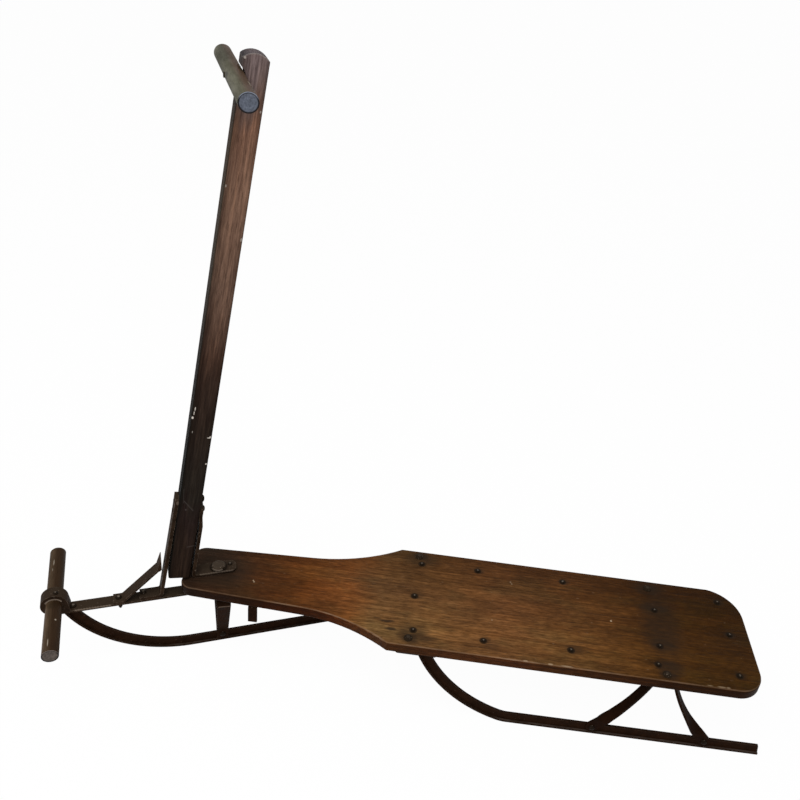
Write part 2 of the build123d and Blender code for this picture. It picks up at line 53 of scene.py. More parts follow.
# %% Places named from the kingpin
MM = 0.001
TURN = radians(22.5)
pin_low, pin_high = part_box("kingpin")
KING = Vector(((pin_low[0] + pin_high[0]) / 2, (pin_low[1] + pin_high[1]) / 2, 0))
AHEAD = Vector((cos(TURN), sin(TURN), 0))
LEFT = Vector((-sin(TURN), cos(TURN), 0))
UP = Vector((0, 0, 1))


def on_sled(x, y, z):
    """A place in millimetres ahead, left and above, seen from the kingpin."""
    return KING + Vector((x, y, z)) * MM


def on_front(x, y, z):
    """The same, in the directions of the turned front."""
    return KING + (AHEAD * x + LEFT * y + UP * z) * MM


print("kingpin at", [round(v, 4) for v in KING])

# %% Places on the raked post
RAKE = radians(8.22)
POST_X = 60.9
POST_FOOT = 162.5
POST_OUT = AHEAD * cos(RAKE) + UP * sin(RAKE)
POST_UP = UP * cos(RAKE) - AHEAD * sin(RAKE)


def on_post(depth, side, height):
    """A place measured from the middle of the post's foot: to its front, to its left and along it."""
    return on_front(POST_X, 0, POST_FOOT) + (POST_OUT * depth + LEFT * side + POST_UP * height) * MM


print("post's foot at", [round(v, 4) for v in on_post(0, 0, 0)])

# %% [markdown]
# ## Camera
# The camera was found by fitting a perspective view to the outlines of the deck, runners and bars.
# It stands high on the sled's left, a little rolled, and the picture is a crop, so the lens is shifted.

# %% Camera at the photograph's angle
VIEW_FROM = on_sled(-322.17, 1002.51, 1149.35)
VIEW_RIGHT = Vector((-0.99114182, -0.05695939, 0.11997301))
VIEW_UP = Vector((0.13258449, -0.47672994, 0.86899362))
VIEW_BACK = VIEW_RIGHT.cross(VIEW_UP)
view_turn = Matrix((VIEW_RIGHT, VIEW_UP, VIEW_BACK)).transposed().to_4x4()
bpy.ops.object.camera_add()
camera = bpy.context.object
camera.name = "camera"
camera.matrix_world = Matrix.Translation(VIEW_FROM) @ view_turn
camera.data.sensor_width = 36
camera.data.lens = 37.865
camera.data.shift_x = -0.0697
camera.data.shift_y = -0.0550
bpy.context.scene.camera = camera
bpy.context.scene.view_settings.view_transform = "Standard"
print("camera", [round(v, 3) for v in camera.location])

# %% [markdown]
# ## Node helpers
# A procedural finish is a chain of small nodes. These helpers add one node each and give back its output,
# so that a material below reads from top to bottom like a recipe.


# %% Helpers: a new material and arithmetic
def new_finish(name):
    """A new material with its tree and its shader."""
    finish = bpy.data.materials.new(name)
    finish.use_nodes = True
    return finish, finish.node_tree, finish.node_tree.nodes["Principled BSDF"]


def feed(tree, socket, value):
    """Links an output into a socket, or writes a plain value there."""
    if isinstance(value, bpy.types.NodeSocket):
        tree.links.new(value, socket)
    else:
        socket.default_value = value


def calc(tree, kind, a, b=0.0):
    """One step of arithmetic."""
    step = tree.nodes.new("ShaderNodeMath")
    step.operation = kind
    feed(tree, step.inputs[0], a)
    feed(tree, step.inputs[1], b)
    return step.outputs[0]


def times(tree, a, b):
    """Two values multiplied."""
    return calc(tree, "MULTIPLY", a, b)


def plus(tree, a, b):
    """Two values added."""
    return calc(tree, "ADD", a, b)


def minus(tree, a, b):
    """The second value taken from the first."""
    return calc(tree, "SUBTRACT", a, b)


def larger(tree, a, b):
    """The larger of two values."""
    return calc(tree, "MAXIMUM", a, b)


def fade(tree, value, low, high, start=0.0, end=1.0, kind="SMOOTHSTEP"):
    """From start to end while value goes from low to high."""
    step = tree.nodes.new("ShaderNodeMapRange")
    step.interpolation_type = kind
    for socket, number in zip(step.inputs, (value, low, high, start, end)):
        feed(tree, socket, number)
    return step.outputs[0]


print("arithmetic ready")


# %% Helpers: where a point of the surface is, and where it looks
def vector_step(tree, kind, *values):
    """One step of vector arithmetic, as its outputs."""
    step = tree.nodes.new("ShaderNodeVectorMath")
    step.operation = kind
    for socket, value in zip(step.inputs, values):
        feed(tree, socket, value)
    return step.outputs


def local(tree, origin, turn=(0, 0, 0)):
    """Object coordinates seen from a piece's own origin and directions."""
    place = tree.nodes.new("ShaderNodeTexCoord")
    shift = tree.nodes.new("ShaderNodeMapping")
    shift.vector_type = "TEXTURE"
    shift.inputs["Location"].default_value = origin
    shift.inputs["Rotation"].default_value = turn
    tree.links.new(place.outputs["Object"], shift.inputs["Vector"])
    return shift.outputs[0]


def facing(tree, direction):
    """How much the surface faces a direction of the object, from -1 to 1."""
    place = tree.nodes.new("ShaderNodeTexCoord")
    return vector_step(tree, "DOT_PRODUCT", place.outputs["Normal"], direction)["Value"]


def stretch(tree, vector, by):
    """Coordinates scaled along each direction, so a pattern gets longer where the number is small."""
    return vector_step(tree, "MULTIPLY", vector, by)[0]


def part_of(tree, vector, letter):
    """One coordinate of a vector."""
    split = tree.nodes.new("ShaderNodeSeparateXYZ")
    tree.links.new(vector, split.inputs[0])
    return split.outputs[letter]


print("coordinates ready")


# %% Helpers: noise and colours
def cloud(tree, vector, scale=1.0, detail=4.0, rough=0.55):
    """Noise from 0 to 1."""
    noise = tree.nodes.new("ShaderNodeTexNoise")
    tree.links.new(vector, noise.inputs["Vector"])
    noise.inputs["Scale"].default_value = scale
    noise.inputs["Detail"].default_value = detail
    noise.inputs["Roughness"].default_value = rough
    return noise.outputs["Fac"]


def blend(tree, share, a, b, kind="MIX"):
    """Two colours mixed by a share."""
    mix = tree.nodes.new("ShaderNodeMix")
    mix.data_type = "RGBA"
    mix.blend_type = kind
    feed(tree, mix.inputs["Factor"], share)
    for socket, colour in ((mix.inputs[6], a), (mix.inputs[7], b)):
        feed(tree, socket, (*colour, 1) if isinstance(colour, tuple) else colour)
    return mix.outputs[2]


def tint(tree, base, by, share=1.0):
    """A colour multiplied by another one, as far as the share says."""
    return blend(tree, share, base, by, "MULTIPLY")


def tones(tree, value, stops):
    """A colour ramp from (place, colour) pairs."""
    ramp = tree.nodes.new("ShaderNodeValToRGB")
    band = ramp.color_ramp
    while len(band.elements) < len(stops):
        band.elements.new(0.5)
    for element, (place, colour) in zip(band.elements, stops):
        element.position = place
        element.color = (*colour, 1)
    feed(tree, ramp.inputs[0], value)
    return ramp.outputs["Color"]


def shade(colour, by):
    """A colour made darker or lighter."""
    return tuple(v * by for v in colour)


def between(a, b):
    """The colour halfway between two."""
    return tuple((v + w) / 2 for v, w in zip(a, b))


print("colours ready")


# %% Helpers: marks, bump and worn edges
def spot(tree, vector, middle, reach, hard):
    """1 in a soft ball round a middle, with its reach in each direction, all in millimetres, and 0 outside."""
    gap = vector_step(tree, "SUBTRACT", vector, [v * MM for v in middle])[0]
    size = vector_step(tree, "LENGTH", stretch(tree, gap, [1 / (v * MM) for v in reach]))["Value"]
    return fade(tree, size, 1.0, hard)


def spots(tree, vector, marks, hard=0.4):
    """The strongest of many spots, each a middle, a reach and a strength."""
    most = None
    for middle, reach, strength in marks:
        mark = times(tree, spot(tree, vector, middle, reach, hard), strength)
        most = mark if most is None else larger(tree, most, mark)
    return most


def raised(tree, shader, height, strength, depth):
    """Bump on the shader from a height."""
    bump = tree.nodes.new("ShaderNodeBump")
    bump.inputs["Strength"].default_value = strength
    bump.inputs["Distance"].default_value = depth
    feed(tree, bump.inputs["Height"], height)
    tree.links.new(bump.outputs[0], shader.inputs["Normal"])


def worn_edge(tree, reach):
    """1 on outer edges and 0 on flats, from how far a rounded normal leaves the real one."""
    soft = tree.nodes.new("ShaderNodeBevel")
    soft.samples = 6
    soft.inputs["Radius"].default_value = reach
    flat = tree.nodes.new("ShaderNodeNewGeometry")
    agreed = vector_step(tree, "DOT_PRODUCT", soft.outputs[0], flat.outputs["Normal"])["Value"]
    return fade(tree, agreed, 0.98, 0.8)


print("marks ready")

# %% [markdown]
# ## Wood grain
# A sawn plank shows its growth rings as long wavy bands, and its pores as short thin dashes. The rings are
# a wave round a far-off pith, bent by slow noise. The pores are noise stretched along the plank.


# %% Grain shared by all the wood
def growth_rings(tree, vector, spacing, pith):
    """Growth rings of wood that grows along X, with their spacing and their pith in metres."""
    moved = vector_step(tree, "SUBTRACT", stretch(tree, vector, (0.22, 1, 1)), pith)[0]
    wave = tree.nodes.new("ShaderNodeTexWave")
    wave.wave_type = "RINGS"
    wave.rings_direction = "X"
    wave.wave_profile = "SAW"
    tree.links.new(moved, wave.inputs["Vector"])
    wave.inputs["Scale"].default_value = 2 * pi / (20 * spacing)
    wave.inputs["Distortion"].default_value = 7
    wave.inputs["Detail"].default_value = 3
    wave.inputs["Detail Scale"].default_value = 0.1
    wave.inputs["Detail Roughness"].default_value = 0.55
    return wave.outputs["Fac"]


def along_grain(tree, vector, long, fine, detail, rough):
    """Noise drawn out along X: long is how often it changes in a metre of length, fine across it."""
    return cloud(tree, stretch(tree, vector, (long, fine, fine)), 1, detail, rough)


def streaks_of(tree, vector):
    """Broad streaks, as wide as a pencil line."""
    return along_grain(tree, vector, 7, 210, 5, 0.6)


def fibres_of(tree, vector):
    """Fine fibres."""
    return along_grain(tree, vector, 16, 560, 6, 0.7)


def pores_of(tree, vector):
    """Short thin pores."""
    return along_grain(tree, vector, 45, 1100, 2, 0.5)


print("grain ready")

# %% [markdown]
# ## Deck
# The deck is one varnished plank. Feet have worn it to a warm brown in the middle and red on the neck, the
# tail has gone dark, and the tip is black with grease from the kingpin. Rain has crept under the bolts and
# left dark rings. The colour follows the plank's length on a ramp, and grain, stains and wear go on top.

# %% Nails and bolts of the deck, in millimetres from the kingpin
DECK_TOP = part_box("deck")[1][2] / MM
deck_nails = [(-323, -73), (-318, 2), (-323, 73), (-418, -74), (-432, 76), (-563, -74.5), (-568, 72),
              (-714, -36.5), (-711.5, 40), (-703, 78), (-827, -74), (-832, -3), (-829, 79.5)]
deck_bolts = [(-317, -90), (-317, 90), (-709, -85), (-714, 95)]
print(len(deck_nails), "nails", len(deck_bolts), "bolts, deck top at", round(DECK_TOP, 1))

# %% Deck colour along and across the plank
deck_finish, tree, shader = new_finish("deck_varnish")
plank = local(tree, KING)
along = part_of(tree, plank, "X")
across = part_of(tree, plank, "Y")
patches = along_grain(tree, plank, 5, 14, 3, 0.55)
drift = plus(tree, along, times(tree, minus(tree, patches, 0.5), 0.12))
base = tones(tree, fade(tree, drift, -0.9, 0.06, kind="LINEAR"), [
    (0.0, (0.034, 0.0138, 0.0028)), (0.1, (0.039, 0.0156, 0.0029)), (0.2, (0.053, 0.0205, 0.004)),
    (0.3, (0.098, 0.041, 0.012)), (0.45, (0.124, 0.053, 0.019)), (0.58, (0.122, 0.057, 0.0205)),
    (0.66, (0.122, 0.061, 0.0235)), (0.71, (0.178, 0.067, 0.019)), (0.8, (0.116, 0.0395, 0.0092)),
    (0.88, (0.058, 0.023, 0.0078)), (0.96, (0.032, 0.018, 0.011))])
# A tint across the plank paints light on the wide part: darker on the far side, lighter on the near side. On the
# neck the tint is darker towards both edges.
wide_painted_light = tones(tree, fade(tree, across, -0.1, 0.1, kind="LINEAR"), [
    (0.0, (0.48, 0.41, 0.32)), (0.3, (0.78, 0.71, 0.6)), (0.5, (0.92, 0.86, 0.78)),
    (0.85, (1.22, 1.18, 1.0)), (1.0, (1.0, 1.0, 0.9))])
neck_tone = tones(tree, fade(tree, across, -0.06, 0.06, kind="LINEAR"), [
    (0.0, (0.6, 0.55, 0.5)), (0.35, (0.95, 0.85, 0.75)), (0.6, (0.95, 0.85, 0.75)), (0.95, (0.62, 0.56, 0.52))])
base = tint(tree, base, blend(tree, fade(tree, along, -0.28, -0.17), wide_painted_light, neck_tone))
print("deck colour", len(tree.nodes), "nodes so far")

# %% Blotches and grain of the deck
blotch = along_grain(tree, plank, 16, 34, 6, 0.65)
base = tint(tree, base, tones(tree, blotch, [
    (0.3, (0.7, 0.7, 0.74)), (0.5, (1.0, 1.0, 1.0)), (0.7, (1.28, 1.25, 1.2))]))
olive = fade(tree, along_grain(tree, plank, 9, 22, 4, 0.55), 0.48, 0.66, 0.0, 0.7)
base = tint(tree, base, (0.86, 1.04, 1.12), olive)
rings = growth_rings(tree, plank, 0.0075, (0, 0.012, -0.05))
streaks, fibres, pores = streaks_of(tree, plank), fibres_of(tree, plank), pores_of(tree, plank)
figure = plus(tree, times(tree, rings, 0.1), times(tree, streaks, 0.45))
figure = plus(tree, figure, times(tree, fibres, 0.6))
base = tint(tree, base, tones(tree, fade(tree, figure, 0.38, 0.82, kind="LINEAR"), [
    (0.0, (0.5, 0.45, 0.41)), (0.45, (0.96, 0.96, 0.96)), (0.95, (1.65, 1.7, 1.8))]))
dashes = along_grain(tree, plank, 70, 310, 3, 0.6)
base = tint(tree, base, tones(tree, dashes, [
    (0.3, (0.64, 0.61, 0.58)), (0.5, (1.0, 1.0, 1.0)), (0.7, (1.4, 1.42, 1.5))]))
base = blend(tree, fade(tree, pores, 0.56, 0.72, 0.0, 0.6), base, (0.02, 0.009, 0.004))
fleck = fade(tree, cloud(tree, stretch(tree, plank, (110, 260, 0)), 1, 2, 0.4), 0.7, 0.78)
base = blend(tree, times(tree, fleck, 0.22), base, (0.26, 0.17, 0.1))
print("deck grain", len(tree.nodes), "nodes so far")

# %% [markdown]
# Stains, cracks and nicks are spots at measured places. A spot reaches right through the plank, so only its
# size along and across matters. Stains get a ragged outline from noise that pushes their coordinates about.

# %% Stains round the iron
THROUGH = 400
ragged = vector_step(tree, "MULTIPLY_ADD", cloud(tree, stretch(tree, plank, (60, 120, 0)), 1, 3),
                     (0.008, 0.006, 0), plank)[0]


def deck_mark(x, y, long, wide, strength):
    """A mark on the deck: its middle, its reach along and across, and its strength."""
    return (x, y, DECK_TOP), (long, wide, THROUGH), strength


stains = [deck_mark(x + 2, y + 2, 14, 11, 0.6) for x, y in deck_nails]
stains += [deck_mark(x, y + 2, 24, 18, 0.75) for x, y in deck_bolts]
stains += [deck_mark(*row) for row in (
    (-318, 80, 38, 24, 0.6), (-336, 90, 28, 13, 0.55), (-318, -80, 40, 24, 0.5), (-716, 84, 32, 26, 0.7),
    (-708, -82, 38, 26, 0.6), (-713, 38, 40, 26, 0.78), (-712, -36, 42, 24, 0.72), (-716, 0, 48, 110, 0.55),
    (-440, 86, 22, 15, 0.4), (-571, 72, 24, 13, 0.5), (-275, 65, 17, 4, 0.85), (-285, 79, 15, 5, 0.85),
    (-262, 60, 10, 2.5, 0.6), (-4, 4, 70, 52, 0.7), (-318, 2, 16, 14, 0.4))]
stain = spots(tree, ragged, stains, 0.25)
base = blend(tree, stain, base, (0.0165, 0.0115, 0.0078))
print(len(stains), "stains on the deck")

# %% Painted shade round sunk nails, cracks and nicks
# A dark ring round each nail head paints the shade of the recess it is sunk in, with some dirt; the bump dents the
# same ring.
sunk_and_shaded = spots(tree, plank, [deck_mark(x, y, 7.2, 7.2, 0.85) for x, y in deck_nails], 0.7)
base = blend(tree, sunk_and_shaded, base, (0.01, 0.0065, 0.004))
cracks = spots(tree, ragged, [deck_mark(*row) for row in (
    (-640, -8, 85, 1.3, 0.6), (-690, -14, 40, 1.2, 0.5), (-520, -52, 70, 1.1, 0.45), (-480, 18, 60, 1.0, 0.4),
    (-590, 56, 50, 1.0, 0.4))])
base = blend(tree, cracks, base, (0.022, 0.009, 0.0035))
nicks = spots(tree, plank, [deck_mark(*row) for row in (
    (-61.8, 16.8, 2, 1.4, 0.8), (-60, 14, 1.6, 1.8, 0.7), (-638, 0, 2.2, 2.2, 0.9), (-476, -54, 2, 1.6, 0.4),
    (-474, -58, 2, 1.8, 0.4), (-444.5, 31.4, 2, 2, 0.3), (-796, 105, 9, 1.4, 0.35), (-806, 105, 4, 2, 0.3),
    (-778, 105, 6, 1.2, 0.25), (-497, 104, 5, 1.6, 0.6), (-560, 104, 12, 1.2, 0.5), (-535, 104, 5, 1.4, 0.6))])
tilt = facing(tree, UP)
nicks = times(tree, nicks, fade(tree, tilt, 0.5, 0.7))
base = blend(tree, nicks, base, (0.42, 0.31, 0.2))
print("nails sunk, cracks and nicks made")

# %% Painted shade on the deck's sides and underside, and worn arris
# Faces that do not look up are darkened: painted shade on the sides and underside.
base = tint(tree, base, (0.42, 0.29, 0.22), fade(tree, tilt, 0.8, 0.4))
arris = times(tree, fade(tree, tilt, 0.4, 0.6), fade(tree, tilt, 0.94, 0.84))
rubbed = fade(tree, along_grain(tree, plank, 18, 60, 5, 0.65), 0.35, 0.66, 0.25, 0.8)
rubbed = times(tree, rubbed, fade(tree, along, 0.02, -0.25, 0.35, 1.0))
rubbed = times(tree, rubbed, fade(tree, along, -0.59, -0.63, 1.0, 0.5))
base = blend(tree, times(tree, arris, rubbed), base, (0.225, 0.141, 0.088))
tree.links.new(base, shader.inputs["Base Color"])
print("deck arris", len(tree.nodes), "nodes so far")

# %% Gloss and bump of the deck
gloss = plus(tree, fade(tree, patches, 0.3, 0.75, 0.42, 0.58), times(tree, streaks, 0.14))
tree.links.new(plus(tree, gloss, times(tree, stain, 0.15)), shader.inputs["Roughness"])
shader.inputs["Specular IOR Level"].default_value = 0.05
shader.inputs["Specular Tint"].default_value = (1, 0.65, 0.4, 1)
relief = minus(tree, times(tree, streaks, 0.6), times(tree, fade(tree, pores, 0.55, 0.75), 0.5))
dents = plus(tree, times(tree, nicks, 0.8), plus(tree, sunk_and_shaded, cracks))
raised(tree, shader, minus(tree, relief, dents), 0.5, 0.6 * MM)
print("deck finish", len(tree.nodes), "nodes")

# %% [markdown]
# ## Battens
# The cross battens under the deck are the same wood, sawn rough and never polished. Nobody sees them from
# above, but the sled is turned over to wax its runners, so they get their own grain, running crosswise.

# %% Batten finish
batten_finish, tree, shader = new_finish("batten_wood")
lath = local(tree, KING, (0, 0, pi / 2))
rings = growth_rings(tree, lath, 0.006, (0, 0.05, -0.05))
streaks, pores = streaks_of(tree, lath), pores_of(tree, lath)
base = tones(tree, plus(tree, times(tree, rings, 0.35), times(tree, streaks, 0.65)), [
    (0.2, (0.05, 0.025, 0.011)), (0.5, (0.085, 0.045, 0.02)), (0.8, (0.13, 0.075, 0.036))])
base = blend(tree, fade(tree, pores, 0.55, 0.72, 0.0, 0.55), base, (0.02, 0.01, 0.005))
base = blend(tree, fade(tree, cloud(tree, lath, 14, 4), 0.5, 0.75, 0.0, 0.6), base, (0.03, 0.017, 0.009))
tree.links.new(base, shader.inputs["Base Color"])
tree.links.new(fade(tree, streaks, 0.2, 0.8, 0.62, 0.82), shader.inputs["Roughness"])
shader.inputs["Specular IOR Level"].default_value = 0.08
raised(tree, shader, plus(tree, streaks, times(tree, pores, 0.4)), 0.6, 0.6 * MM)
print("batten finish", len(tree.nodes), "nodes")

# %% [markdown]
# ## Post
# The post is a square stick, dark brown all over, bleached higher up where mittens and weather reached it and
# nearly black towards the foot; that darkening towards the foot is partly painted shade, the light falling off
# down the post. Its corners are chipped pale. The grain runs up the post, so its coordinates are turned into the
# post's own directions first: X runs up it, Y to its left and Z to its rear.

# %% Post colour from foot to crown
post_finish, tree, shader = new_finish("post_varnish")
post_turn = Matrix((POST_UP, LEFT, POST_UP.cross(LEFT))).transposed().to_euler()
stick = local(tree, on_post(0, 0, 0), post_turn)
height = part_of(tree, stick, "X")
patches = along_grain(tree, stick, 7, 60, 4, 0.55)
drift = plus(tree, height, times(tree, minus(tree, patches, 0.5), 0.13))
# Dark at the foot to lighter brown higher up: partly the wood's weathering, partly painted shade.
base = tones(tree, fade(tree, drift, 0.0, 0.8, kind="LINEAR"), [
    (0.0, (0.019, 0.0105, 0.0065)), (0.09, (0.0225, 0.0132, 0.009)), (0.14, (0.0195, 0.0115, 0.0095)),
    (0.2, (0.017, 0.013, 0.0097)), (0.36, (0.0205, 0.0128, 0.0093)), (0.445, (0.031, 0.018, 0.0128)),
    (0.5, (0.055, 0.029, 0.0195)), (0.64, (0.13, 0.076, 0.053)), (0.78, (0.185, 0.105, 0.071)),
    (0.89, (0.162, 0.085, 0.056)), (0.955, (0.118, 0.084, 0.077)), (1.0, (0.155, 0.114, 0.11))])
print("post colour", len(tree.nodes), "nodes so far")

# %% Grain of the post
streaks, fibres, pores = streaks_of(tree, stick), fibres_of(tree, stick), pores_of(tree, stick)
broad = along_grain(tree, stick, 5, 190, 4, 0.6)
figure = plus(tree, times(tree, broad, 0.45), times(tree, streaks, 0.25))
figure = plus(tree, figure, times(tree, fibres, 0.4))
base = tint(tree, base, tones(tree, fade(tree, figure, 0.35, 0.78, kind="LINEAR"), [
    (0.0, (0.38, 0.33, 0.33)), (0.45, (0.97, 0.97, 0.97)), (0.95, (1.75, 1.7, 1.6))]))
specks = along_grain(tree, stick, 30, 400, 4, 0.7)
base = tint(tree, base, tones(tree, specks, [
    (0.3, (0.62, 0.58, 0.56)), (0.52, (1.0, 1.0, 1.0)), (0.75, (1.55, 1.55, 1.55))]))
# Across the left face the colour darkens towards the front and rear corners: painted shade of the rounded corners,
# with some grime.
corner_shade_across = fade(tree, part_of(tree, stick, "Z"), -0.016, 0.016, kind="LINEAR")
base = tint(tree, base, tones(tree, corner_shade_across, [
    (0.0, (0.42, 0.42, 0.42)), (0.14, (0.66, 0.66, 0.66)), (0.34, (0.97, 0.97, 0.97)),
    (0.55, (1.05, 1.05, 1.05)), (0.8, (1.03, 1.03, 1.03)), (1.0, (0.7, 0.7, 0.7))]))
base = blend(tree, fade(tree, pores, 0.55, 0.72, 0.0, 0.6), base, (0.016, 0.009, 0.006))
print("post grain", len(tree.nodes), "nodes so far")

# %% Painted shade on the post's front and rear faces; corners and crown of the post
# The front face below the crown is darkened and greyed, and the rear face darkened: painted shade from how these
# faces meet the light.
front_face_shade = times(tree, fade(tree, facing(tree, POST_OUT), 0.35, 0.8), fade(tree, height, 0.775, 0.745, 0.6, 1.0))
base = tint(tree, base, (0.46, 0.58, 0.58), front_face_shade)
base = tint(tree, base, (0.75, 0.72, 0.69), fade(tree, facing(tree, -POST_OUT), 0.3, 0.8))
corner = worn_edge(tree, 3 * MM)
chipped = fade(tree, along_grain(tree, stick, 45, 130, 4, 0.7), 0.62, 0.7)
crown = fade(tree, height, 0.783, 0.79)
bare = times(tree, corner, larger(tree, times(tree, chipped, 0.12), times(tree, crown, 0.75)))
base = blend(tree, bare, base, (0.3, 0.27, 0.25))
cap = times(tree, crown, fade(tree, facing(tree, POST_UP), 0.25, 0.6))
base = tint(tree, base, (0.5, 0.55, 0.6), cap)
print("post faces", len(tree.nodes), "nodes so far")

# %% Flakes and scratches on the post's left face
FLAKE_Y, SCRATCH_Y, FACE_REACH = 14, 14.5, 3


def flake(up, rear, tall, wide, strength):
    """A flake of paint gone from the left face: its place up the post and to its rear, its reach, its strength."""
    return (up, FLAKE_Y, rear), (tall, FACE_REACH, wide), strength


def scored(start, end, count, reach, strength):
    """A scratch: spots in a row from start to end."""
    return [(Vector(start).lerp(Vector(end), k / (count - 1)), reach, strength) for k in range(count)]


flakes = spots(tree, stick, [flake(*row) for row in (
    (314, -12.6, 4, 0.9, 1.0), (307, -13.3, 4, 0.8, 1.0), (299, -14.4, 2.6, 1.8, 1.0), (275, -12, 2.5, 0.8, 0.4),
    (265.5, 12, 1.2, 3.4, 0.9), (267, 13.5, 2, 1.4, 1.0), (219.5, 13.6, 1.8, 1.8, 0.9),
    (572.7, 14.2, 3, 1.4, 0.5), (641, -14.2, 2.4, 1.1, 0.3), (738, 13.6, 2, 1.3, 0.45),
    (797, -13.4, 2, 1.6, 0.5))], 0.6)
base = blend(tree, flakes, base, (0.55, 0.5, 0.44))
scratches = spots(tree, stick, [
    *scored((150.6, SCRATCH_Y, -9), (134, SCRATCH_Y, 4.8), 9, (1.6, FACE_REACH, 1.2), 0.052),
    *scored((62.6, SCRATCH_Y, 5), (64.8, SCRATCH_Y, 13.6), 5, (1.2, FACE_REACH, 1.6), 0.05),
    *scored((172, SCRATCH_Y, -12.2), (149, SCRATCH_Y, -10.4), 7, (2.6, FACE_REACH, 0.9), 0.03),
    ((135, SCRATCH_Y, -5.4), (1.8, FACE_REACH, 1.6), 0.08)])
base = blend(tree, scratches, base, (0.55, 0.5, 0.46))
tree.links.new(base, shader.inputs["Base Color"])
print("post marks", len(tree.nodes), "nodes so far")

# %% Gloss and bump of the post
tree.links.new(fade(tree, figure, 0.2, 1.0, 0.6, 0.78), shader.inputs["Roughness"])
shader.inputs["Specular IOR Level"].default_value = 0.03
relief = minus(tree, times(tree, streaks, 0.7), times(tree, fade(tree, pores, 0.55, 0.75), 0.5))
dents = larger(tree, flakes, times(tree, chipped, corner))
raised(tree, shader, minus(tree, relief, dents), 0.55, 0.6 * MM)
print("post finish", len(tree.nodes), "nodes")

# %% [markdown]
# ## Handlebar and foot bar
# Both are dowels. The handlebar kept some olive paint, rubbed through to grey wood where it is held, and its
# end grain has gone blue-grey inside a dark rim. The foot bar is darker, with bright rubbed dashes.


# %% Sawn ends of a dowel
def end_grain(tree, bar, end, half):
    """Colour and pores of a sawn end: mottled, with a dark rim and a painted highlight in an arc on its upper
    side.
    """
    radial = vector_step(tree, "LENGTH", stretch(tree, bar, (0, 1, 1)))["Value"]
    heart = cloud(tree, bar, 330, 4, 0.6)
    sawn = tones(tree, heart, [(0.32, shade(end, 0.6)), (0.52, end), (0.72, shade(end, 1.5))])
    sawn = blend(tree, fade(tree, radial, half - 2.2 * MM, half - 1.2 * MM), sawn, (0.012, 0.011, 0.012))
    upper = fade(tree, part_of(tree, bar, "Z"), 0.2 * half, 0.75 * half, 0.0, 0.8)
    glint = times(tree, fade(tree, radial, half - 1.2 * MM, half - 0.6 * MM), upper)
    return blend(tree, glint, sawn, shade(end, 2.4)), heart


def with_ends(tree, base, sawn, end):
    """A dowel's colour with its sawn ends, and with their rims dark below and a painted highlight above, where
    they look up.
    """
    endwise = calc(tree, "ABSOLUTE", facing(tree, LEFT))
    base = blend(tree, fade(tree, endwise, 0.8, 0.95), base, sawn)
    rim = times(tree, fade(tree, endwise, 0.25, 0.5), fade(tree, endwise, 0.97, 0.85))
    lit = times(tree, rim, fade(tree, facing(tree, UP), 0.15, 0.5, 0.1, 0.75))
    base = blend(tree, rim, base, (0.014, 0.012, 0.012))
    return blend(tree, lit, base, shade(end, 2.2))


print("dowel ends ready")


# %% Dowel finish
def dowel_finish(name, middle, dark, light, shaded_rear_tone, end, half, marks, stains):
    """Dowel across the front: worn paint, a darker brown tone on the side facing rearwards that is partly painted
    shade, scratches, bare end grain with a dark rim.
    """
    finish, tree, shader = new_finish(name)
    bar = local(tree, middle, (0, 0, TURN + pi / 2))
    streaks, pores = streaks_of(tree, bar), pores_of(tree, bar)
    wear = along_grain(tree, bar, 16, 60, 5, 0.65)
    paint = plus(tree, times(tree, wear, 0.65), times(tree, streaks, 0.35))
    base = tones(tree, paint, [(0.3, dark), (0.5, between(dark, light)), (0.66, light)])
    # The side facing rearwards gets a darker brown tone: partly the paint's own tone, partly painted shade.
    rear_shade = fade(tree, facing(tree, -AHEAD), -0.55, 0.2)
    base = blend(tree, times(tree, rear_shade, fade(tree, wear, 0.25, 0.55, 0.7, 1.0)), base, shaded_rear_tone)
    base = blend(tree, fade(tree, pores, 0.56, 0.7, 0.0, 0.5), base, shade(dark, 0.35))
    base = blend(tree, spots(tree, bar, stains, 0.3), base, shade(dark, 0.6))
    scratch = spots(tree, bar, marks, 0.5)
    base = blend(tree, scratch, base, (0.34, 0.29, 0.23))
    sawn, heart = end_grain(tree, bar, end, half)
    tree.links.new(with_ends(tree, base, sawn, end), shader.inputs["Base Color"])
    tree.links.new(fade(tree, wear, 0.3, 0.75, 0.62, 0.42), shader.inputs["Roughness"])
    shader.inputs["Specular IOR Level"].default_value = 0.05
    shader.inputs["Specular Tint"].default_value = (1, 0.85, 0.65, 1)
    relief = plus(tree, times(tree, streaks, 0.5), times(tree, heart, 0.25))
    raised(tree, shader, minus(tree, relief, scratch), 0.45, 0.5 * MM)
    print(name, len(tree.nodes), "nodes")
    return finish


print("dowel finish ready")


# %% Handlebar and foot bar get their finishes
def middle_of(node):
    """Middle of a node's box."""
    low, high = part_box(node)
    return (Vector(low) + Vector(high)) / 2


